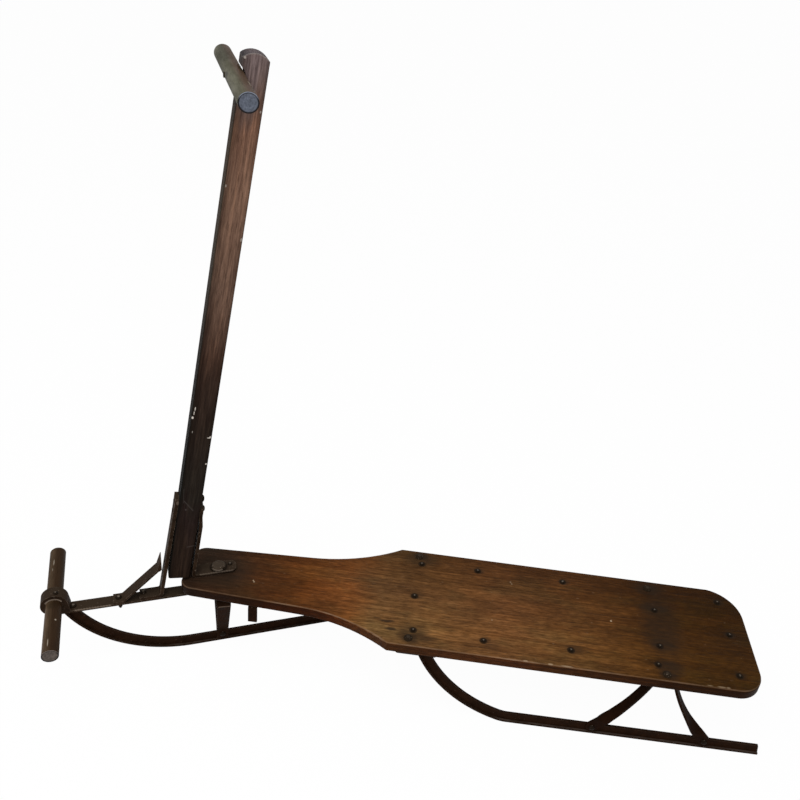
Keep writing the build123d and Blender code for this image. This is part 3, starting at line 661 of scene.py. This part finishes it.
grip_finish = dowel_finish(
    "handlebar_paint", middle_of("handlebar"), dark=(0.024, 0.0222, 0.0125), light=(0.082, 0.077, 0.047),
    shaded_rear_tone=(0.046, 0.024, 0.013), end=(0.098, 0.11, 0.14), half=11.4 * MM,
    marks=[((76, 8, 8.3), (7, 3, 3), 0.55), ((88, 7, 9), (4, 2, 2), 0.35)],
    stains=[((16, -11, 3), (14, 6, 8), 0.8), ((12, 6, 10), (16, 5, 5), 0.6), ((-75, -4, 10), (75, 11, 11), 0.5)])
foot_finish = dowel_finish(
    "foot_bar_paint", middle_of("foot_bar"), dark=(0.022, 0.0135, 0.0065), light=(0.086, 0.053, 0.029),
    shaded_rear_tone=(0.026, 0.0132, 0.0062), end=(0.09, 0.073, 0.063), half=11.7 * MM,
    marks=[((-74, -3.4, 11), (8, 0.8, 3), 0.8), ((-58, -4.5, 11), (4, 0.7, 3), 0.5),
           ((92, -2.7, 11), (9, 0.8, 3), 0.8), ((49, 5.1, 10), (2, 1.6, 3), 0.9)],
    stains=[((-60, 8, 4), (60, 8, 8), 0.3), ((20, 0, 12), (10, 12, 6), 0.5)])

# %% [markdown]
# ## Iron
# Straps, runners and bolts were dipped in dark paint and have rusted through it. The tops carry a grey bloom
# of dust, the edges are rubbed to bare steel, and the sheltered sides stay brown-black.


# %% Rust, dust and grease on iron
def iron_skin(tree, iron, mottle, dark, light, rust, dust, shade_spots):
    """Mottled brown-black paint with rust through it, dust on what looks up, and painted shade in spots at some
    places.
    """
    base = tones(tree, mottle, [(0.32, dark), (0.5, between(dark, light)), (0.68, light)])
    rusty = fade(tree, cloud(tree, iron, 120, 5, 0.7), 0.56, 0.72, 0.0, 0.55)
    base = blend(tree, rusty, base, rust)
    dusty = times(tree, fade(tree, facing(tree, UP), 0.3, 0.95), fade(tree, mottle, 0.3, 0.65, 0.5, 1.0))
    base = blend(tree, dusty, base, dust)
    # Painted shade spots darken the paint at given places.
    if shade_spots:
        base = blend(tree, spots(tree, iron, shade_spots, 0.75), base, (0.0055, 0.0036, 0.0022))
    return base


def flange_wear_and_highlight(tree, iron):
    """1 on the flange's top beside the web, low down where it looks up: partly scoured by snow, partly a painted
    highlight.
    """
    low = fade(tree, part_of(tree, iron, "Z"), 7.5 * MM, 5 * MM)
    line = times(tree, low, fade(tree, facing(tree, UP), 0.6, 0.9))
    return times(tree, line, fade(tree, cloud(tree, iron, 34, 4, 0.6), 0.35, 0.6, 0.25, 1.0))


print("iron's skin ready")


# %% Iron finish
def iron_finish(name, dark, light, rust, dust, bright, gloss, rub, worn,
                marks=(), flange_line=None, crown=0.0, shade_spots=()):
    """Old painted iron: skin with painted shade spots, scuffs and painted highlight marks, a painted highlight on
    the crown, rubbed edges, and a flange line that is partly scoured tread and partly painted highlight.
    """
    finish, tree, shader = new_finish(name)
    iron = local(tree, KING)
    mottle = cloud(tree, iron, 55, 6, 0.65)
    base = iron_skin(tree, iron, mottle, dark, light, rust, dust, shade_spots)
    scuffs_and_highlights = fade(tree, cloud(tree, stretch(tree, iron, (300, 420, 300)), 1, 3, 0.5), rub, rub + 0.08, 0.0, 0.45)
    # Marks add painted highlights along edges that catch the light.
    if marks:
        scuffs_and_highlights = larger(tree, scuffs_and_highlights, spots(tree, iron, marks, 0.5))
    base = blend(tree, scuffs_and_highlights, base, bright)
    # The top of a domed head, where it looks straight up, gets a painted highlight.
    if crown:
        base = blend(tree, fade(tree, facing(tree, UP), 0.955, 0.995, 0.0, crown), base, bright)
    edge = times(tree, worn_edge(tree, 1.4 * MM), fade(tree, cloud(tree, iron, 170, 4, 0.6), 0.38, 0.6))
    base = blend(tree, times(tree, edge, worn), base, bright)
    # The flange line is partly wear and partly painted highlight.
    if flange_line:
        base = blend(tree, flange_wear_and_highlight(tree, iron), base, flange_line)
    tree.links.new(base, shader.inputs["Base Color"])
    tree.links.new(times(tree, edge, 0.4), shader.inputs["Metallic"])
    rough = minus(tree, fade(tree, mottle, 0.3, 0.7, 0.5, 0.7), times(tree, edge, 0.12))
    tree.links.new(rough, shader.inputs["Roughness"])
    shader.inputs["Specular IOR Level"].default_value = gloss
    shader.inputs["Specular Tint"].default_value = (1, 0.7, 0.5, 1)
    pits = cloud(tree, iron, 420, 3, 0.6)
    raised(tree, shader, plus(tree, times(tree, pits, 0.6), mottle), 0.5, 0.5 * MM)
    print(name, len(tree.nodes), "nodes")
    return finish


print("iron finish ready")

# %% [markdown]
# Edges that catch the light get a painted highlight in a line. Each line is a row of small spots along the real
# edge: the saddle's bend, the eye round the foot bar, the tab on the deck, the steering bar, the rim of the
# kingpin's head and the top of the post's front strap.

# %% Painted highlight lines
EYE_X, EYE_Y, EYE_Z, EYE_R = 242, 10, 137.9, 12.6
PIN_R, PIN_RIM = 10.2, 163
BEND_Y, BEND_Z, BEND_RISE = 36.4, 108.4, 0.13
TAB_Y, TAB_Z = 11.8, 160.2
BAR_Y, BAR_Z = 9.8, 122


def highlight_mark(place, reach, strength):
    """A spot of a painted highlight line at a place in the frame."""
    return (place - KING) / MM, reach, strength


def on_eye(angle):
    """A place on the near rim of the steering bar's eye."""
    return on_front(EYE_X + EYE_R * cos(radians(angle)), EYE_Y, EYE_Z + EYE_R * sin(radians(angle)))


def on_rim(angle):
    """A place on the rim of the kingpin's head."""
    return on_sled(PIN_R * cos(radians(angle)), PIN_R * sin(radians(angle)), PIN_RIM)


saddle_line = [highlight_mark(on_front(x, BEND_Y, BEND_Z + BEND_RISE * x), (2.6, 2.6, 1.5), 0.85)
               for x in range(-13, 4, 2)]
eye_line = [highlight_mark(on_eye(angle), (2.2, 1.8, 2.2), 0.9) for angle in range(35, 150, 9)]
tab_line = [highlight_mark(on_front(x, TAB_Y, TAB_Z), (3.2, 2.2, 2.2), 0.3) for x in range(-28, 32, 4)]
bar_line = [highlight_mark(on_front(x, BAR_Y, BAR_Z), (3, 1.8, 2), 0.5) for x in range(165, 215, 4)]
rim_line = [highlight_mark(on_rim(angle), (2.2, 1.6, 1.8), 0.45) for angle in range(55, 140, 8)]
strap_top = [highlight_mark(on_post(17.6, 10, 144), (3, 3, 5), 0.4)]
# A dark ring on the tab round the kingpin's head is painted shade.
pin_head_shade = [((0, 0, 160), (16, 16, 6), 0.8)]
print(sum(map(len, (saddle_line, eye_line, tab_line, bar_line, rim_line, strap_top))), "rub marks")

# %% Iron of runners, knees and straps
runner_iron = iron_finish(
    "runner_iron", dark=(0.008, 0.0033, 0.0015), light=(0.022, 0.0092, 0.0046), rust=(0.03, 0.0105, 0.0046),
    dust=(0.018, 0.0095, 0.0056), bright=(0.16, 0.11, 0.08), gloss=0.02, rub=0.68, worn=0.3,
    marks=saddle_line, flange_line=(0.055, 0.038, 0.03))
knee_iron = iron_finish(
    "knee_iron", dark=(0.0062, 0.0023, 0.0011), light=(0.0165, 0.0064, 0.003), rust=(0.024, 0.0082, 0.0035),
    dust=(0.0105, 0.0046, 0.0024), bright=(0.1, 0.065, 0.045), gloss=0.02, rub=0.72, worn=0.12)
strap_iron = iron_finish(
    "strap_iron", dark=(0.01, 0.0052, 0.0028), light=(0.032, 0.018, 0.0105), rust=(0.04, 0.018, 0.0095),
    dust=(0.031, 0.021, 0.0135), bright=(0.22, 0.17, 0.13), gloss=0.03, rub=0.66, worn=0.6,
    marks=eye_line + tab_line + bar_line + strap_top, shade_spots=pin_head_shade)

# %% Iron of kingpin, nails and bolts
pin_iron = iron_finish(
    "kingpin_iron", dark=(0.014, 0.009, 0.0055), light=(0.034, 0.023, 0.015), rust=(0.042, 0.022, 0.012),
    dust=(0.046, 0.034, 0.0235), bright=(0.3, 0.24, 0.19), gloss=0.06, rub=0.62, worn=0.7, marks=rim_line)
# Heads of nails and bolts carry a painted highlight on their crowns.
head_iron = iron_finish(
    "nail_iron", dark=(0.004, 0.0026, 0.0016), light=(0.013, 0.0082, 0.005), rust=(0.018, 0.0095, 0.005),
    dust=(0.008, 0.0054, 0.0034), bright=(0.34, 0.28, 0.22), gloss=0.06, rub=0.66, worn=0.2, crown=0.32)
bolt_iron = iron_finish(
    "bolt_iron", dark=(0.0085, 0.005, 0.0026), light=(0.026, 0.0165, 0.0095), rust=(0.032, 0.017, 0.009),
    dust=(0.015, 0.0095, 0.0055), bright=(0.2, 0.16, 0.12), gloss=0.04, rub=0.6, worn=0.25, crown=0.1)

# %% [markdown]
# ## Finishes on the solids
# The shapes from CAD stay as they are, and each only gets its finish in its own material slots. What has no
# finish of its own here is plain dark iron like the runners.

# %% Finishes go on the frame's own solids
finish_of = {"deck": deck_finish, "post": post_finish, "handlebar": grip_finish, "foot_bar": foot_finish,
             "kingpin": pin_iron, "knee_left": knee_iron, "knee_right": knee_iron}
for name in ("steering_bar", "strap_front", "strap_rear", "brace"):
    finish_of[name] = strap_iron
for name, solid in nodes.items():
    finish = batten_finish if name.startswith("batten") else finish_of.get(name, runner_iron)
    if not solid.material_slots:
        solid.data.materials.append(finish)
    for holder in solid.material_slots:
        holder.material = finish
print("finished", len(nodes), "solids")

# %% [markdown]
# ## Nails, bolts and rivets
# Every fastener is modelled once, as by hand: a disc at its size, then insets and moves in edit mode that
# crown it. A helper copies it to each place, with its own mesh, turned so that its top looks outwards.


# %% Helpers for modelling by hand
def begin():
    """Nothing selected, object mode."""
    if bpy.context.mode != "OBJECT":
        bpy.ops.object.mode_set(mode="OBJECT")
    bpy.ops.object.select_all(action="DESELECT")


def disc(sides, radius, thick, middle):
    """A disc to start a head from, left in edit mode, with the height of its middle over the face it sits on."""
    begin()
    bpy.ops.mesh.primitive_cylinder_add(vertices=sides, radius=radius * MM, depth=thick * MM,
                                        location=(0, 0, middle * MM))
    bpy.ops.object.transform_apply(location=True)
    bpy.ops.object.mode_set(mode="EDIT")
    return bpy.context.object


def pick_top(piece):
    """Selects only the faces that look straight up."""
    bpy.ops.mesh.select_mode(type="FACE")
    bpy.ops.mesh.select_all(action="DESELECT")
    mesh = bmesh.from_edit_mesh(piece.data)
    for face in mesh.faces:
        if face.normal.z > 0.99:
            face.select_set(True)
    bmesh.update_edit_mesh(piece.data)


def dome(piece, steps):
    """Crowns the top face: each step insets it and lifts it, in millimetres."""
    pick_top(piece)
    for inwards, upwards in steps:
        bpy.ops.mesh.inset(thickness=inwards * MM)
        bpy.ops.transform.translate(value=(0, 0, upwards * MM))


def done(piece, name, finish):
    """Leaves edit mode, smooths the crown and names the pattern."""
    bpy.ops.object.mode_set(mode="OBJECT")
    bpy.ops.object.shade_smooth_by_angle(angle=radians(50))
    piece.name = name
    piece.data.materials.append(finish)
    print(name, len(piece.data.polygons), "faces")


print("hand tools ready")

# %% Pattern: clout nail, a round crown seven millimetres wide
nail = disc(18, 3.6, 1.2, 0.2)
dome(nail, ((0.35, 0.6), (0.8, 0.6), (1.1, 0.4), (0.8, 0.1)))
done(nail, "nail_pattern", head_iron)

# %% Pattern: carriage bolt, a round crown on a thin skirt
bolt = disc(24, 6.8, 1.0, 0.2)
dome(bolt, ((0.8, 1.0), (1.4, 0.9), (1.8, 0.6), (1.8, 0.25)))
done(bolt, "bolt_pattern", bolt_iron)

# %% Pattern: rivet, a full round head
rivet = disc(20, 4.8, 1.0, 0.2)
dome(rivet, ((0.35, 0.9), (0.8, 0.8), (1.3, 0.6), (1.3, 0.2)))
done(rivet, "rivet_pattern", head_iron)

# %% Pattern: stud, a tall round head
stud = disc(20, 6, 1.6, 0.4)
dome(stud, ((0.3, 1.4), (0.8, 1.2), (1.4, 0.9), (1.6, 0.4), (1.0, 0.1)))
done(stud, "stud_pattern", head_iron)

# %% Pattern: peened end, the flattened tail of a bolt or rivet
peen = disc(16, 3.6, 0.9, 0.2)
dome(peen, ((0.6, 0.5), (1.2, 0.25)))
done(peen, "peen_pattern", head_iron)

# %% Pattern: bolt end that stands out below a strap, with a tapered tip
stub = disc(16, 3, 8, 3.8)
dome(stub, ((0.3, 0.3), (1.0, 2.6), (0.6, 0.6)))
done(stub, "stub_pattern", head_iron)

# %% [markdown]
# ## Setting the fasteners
# Nails go down the deck in rows, over the battens. Carriage bolts hold the runners' front ends and the knees,
# and their tails are hammered flat below. Rivets hold iron to iron. A line is cast at the solid that carries
# the fastener, so each one sits on its face and looks straight out of it.


# %% Helper that sets a fastener on a solid
def set_on(pattern, name, node, start, towards, body, turn=0.0):
    """A copy of a pattern with its own mesh, where a line from start first meets a solid, square to its face."""
    hit, place, out, _ = nodes[node].ray_cast(start, Vector(towards).normalized())
    if not hit:
        raise ValueError(f"{name} misses {node}")
    copy = pattern.copy()
    copy.data = pattern.data.copy()
    copy.name = name
    bpy.context.collection.objects.link(copy)
    upright = out.to_track_quat("Z", "Y").to_matrix().to_4x4()
    copy.data.transform(Matrix.Translation(place) @ upright @ Matrix.Rotation(turn, 4, "Z"))
    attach(copy, body)


print("set_on ready")

# %% Deck fasteners
# Lines are cast down from above the deck and up from below it. A bolt's tail sits a little nearer to the
# middle than its head, on the flat of the iron that it holds: a runner in front, a knee behind.
ABOVE, BELOW = 300, 60
MID_DECK = -500
RUNNER_TAIL, KNEE_TAIL = 0.983, 0.99
for count, (x, y) in enumerate(deck_nails):
    set_on(nail, f"deck_nail_{count}", "deck", on_sled(x, y, ABOVE), -UP, "sled", count * 0.7)
for count, (x, y) in enumerate(deck_bolts):
    side = "left" if y > 0 else "right"
    carrier, inwards = (f"runner_{side}", RUNNER_TAIL) if x > MID_DECK else (f"knee_{side}", KNEE_TAIL)
    set_on(bolt, f"deck_bolt_{count}", "deck", on_sled(x, y, ABOVE), -UP, "sled", count * 0.5)
    set_on(peen, f"deck_bolt_tail_{count}", carrier, on_sled(x, y * inwards, BELOW), UP, "sled")
for side, y in (("left", 20), ("right", -20)):
    set_on(nail, f"keeper_screw_{side}", "keeper", on_sled(-68, y, BELOW), UP, "sled")
print("deck fasteners set")

# %% Rivets of the knees
SIDES = (("left", 1), ("right", -1))
for side, way in SIDES:
    for end, x in (("front", -626), ("rear", -807)):
        outside = on_sled(x, way * 140, 15.2)
        inside = on_sled(x, way * 40, 12.5)
        set_on(rivet, f"knee_rivet_{side}_{end}", f"knee_{side}", outside, (0, -way, 0), "sled")
        set_on(peen, f"knee_rivet_tail_{side}_{end}", f"runner_{side}", inside, (0, way, 0), "sled")
print("knee rivets set")

# %% Bolts and rivets of the steering bar
for side, way in SIDES:
    set_on(rivet, f"saddle_rivet_{side}", "saddle", on_front(-4, way * 60, 14.5), -way * LEFT, "steering")
for pattern, name, node, x, y, z, towards in (
        (rivet, "strap_foot_rivet", "strap_front", 115.5, -2, ABOVE, -UP),
        (rivet, "brace_bolt", "brace", 152, -1, ABOVE, -UP),
        (stub, "brace_bolt_end", "steering_bar", 150, 3, BELOW, UP),
        (nail, "eye_nail", "steering_bar", 238, 3, ABOVE, -UP),
        (rivet, "eye_rivet", "steering_bar", 217, 0, ABOVE, -UP),
        (peen, "eye_rivet_tail", "runner_front", 215, 0, BELOW, UP),
        (nail, "tab_rivet", "strap_rear", -18, -3, ABOVE, -UP)):
    set_on(pattern, name, node, on_front(x, y, z), towards, "steering")
print("steering bar's fasteners set")

# %% Bolts and rivets of the post
AWAY = 80
set_on(stud, "post_bolt_rear", "post", on_post(-AWAY, 0, 145), POST_OUT, "steering")
set_on(rivet, "post_rivet_rear", "strap_rear", on_post(-AWAY, 0, 126), POST_OUT, "steering")
set_on(peen, "post_bolt_front", "strap_front", on_post(AWAY, 0, 141), -POST_OUT, "steering")
set_on(peen, "post_rivet_front", "strap_front", on_post(AWAY, 0, 124), -POST_OUT, "steering")
droop = radians(8)
grip_front = POST_OUT * cos(droop) - POST_UP * sin(droop)
set_on(peen, "handlebar_bolt", "handlebar", middle_of("handlebar") + grip_front * 60 * MM, -grip_front, "steering")
print("post's fasteners set")

# %% [markdown]
# ## Floor and light
# The sled stands on white paper. The floor takes the sled's shadow like any paper, and is lifted to white only
# for what the camera and reflections see of it. Light is one broad soft lamp over the sled's left and an even sky.


# %% Floor
def seen_directly(tree):
    """1 for what the camera sees, straight, in a reflection or through glass, and 0 for light on its way."""
    path = tree.nodes.new("ShaderNodeLightPath").outputs
    return larger(tree, larger(tree, path["Is Camera Ray"], path["Is Glossy Ray"]), path["Is Transmission Ray"])


begin()
bpy.ops.mesh.primitive_plane_add(size=100, location=(0, 0, -0.4 * MM))
floor = bpy.context.object
floor.name = "floor"
paper, tree, shader = new_finish("white_paper")
shader.inputs["Base Color"].default_value = (0.9, 0.9, 0.9, 1)
shader.inputs["Roughness"].default_value = 0.9
shader.inputs["Specular IOR Level"].default_value = 0.0
white = tree.nodes.new("ShaderNodeEmission")
both = tree.nodes.new("ShaderNodeMixShader")
tree.links.new(times(tree, seen_directly(tree), 0.97), both.inputs[0])
tree.links.new(shader.outputs[0], both.inputs[1])
tree.links.new(white.outputs[0], both.inputs[2])
tree.links.new(both.outputs[0], tree.nodes["Material Output"].inputs["Surface"])
floor.data.materials.append(paper)
print("floor at", round(floor.location.z, 5))

# %% Sky
sky = bpy.data.worlds.new("studio")
sky.use_nodes = True
tree = sky.node_tree
even = tree.nodes["Background"]
even.inputs["Color"].default_value = (1, 1, 1, 1)
tree.links.new(fade(tree, seen_directly(tree), 0.0, 1.0, 0.5, 1.0), even.inputs["Strength"])
bpy.context.scene.world = sky
print("sky", sky.name)

# %% Lamp
LAMP_AIM = Vector((0, 0, 0.2))
bpy.ops.object.light_add(type="AREA", location=(0.5, 1.1, 2.6))
lamp = bpy.context.object
lamp.name = "soft_lamp"
lamp.data.shape = "DISK"
lamp.data.size = 2.2
lamp.data.energy = 55
lamp.rotation_euler = (LAMP_AIM - lamp.location).to_track_quat("-Z", "Y").to_euler()
print("lamp", lamp.data.energy, "watts")

# %% [markdown]
# ## Closing
# The patterns have done their work and go.

# %% Patterns away
begin()
for pattern in (nail, bolt, rivet, stud, peen, stub):
    bpy.data.objects.remove(pattern)
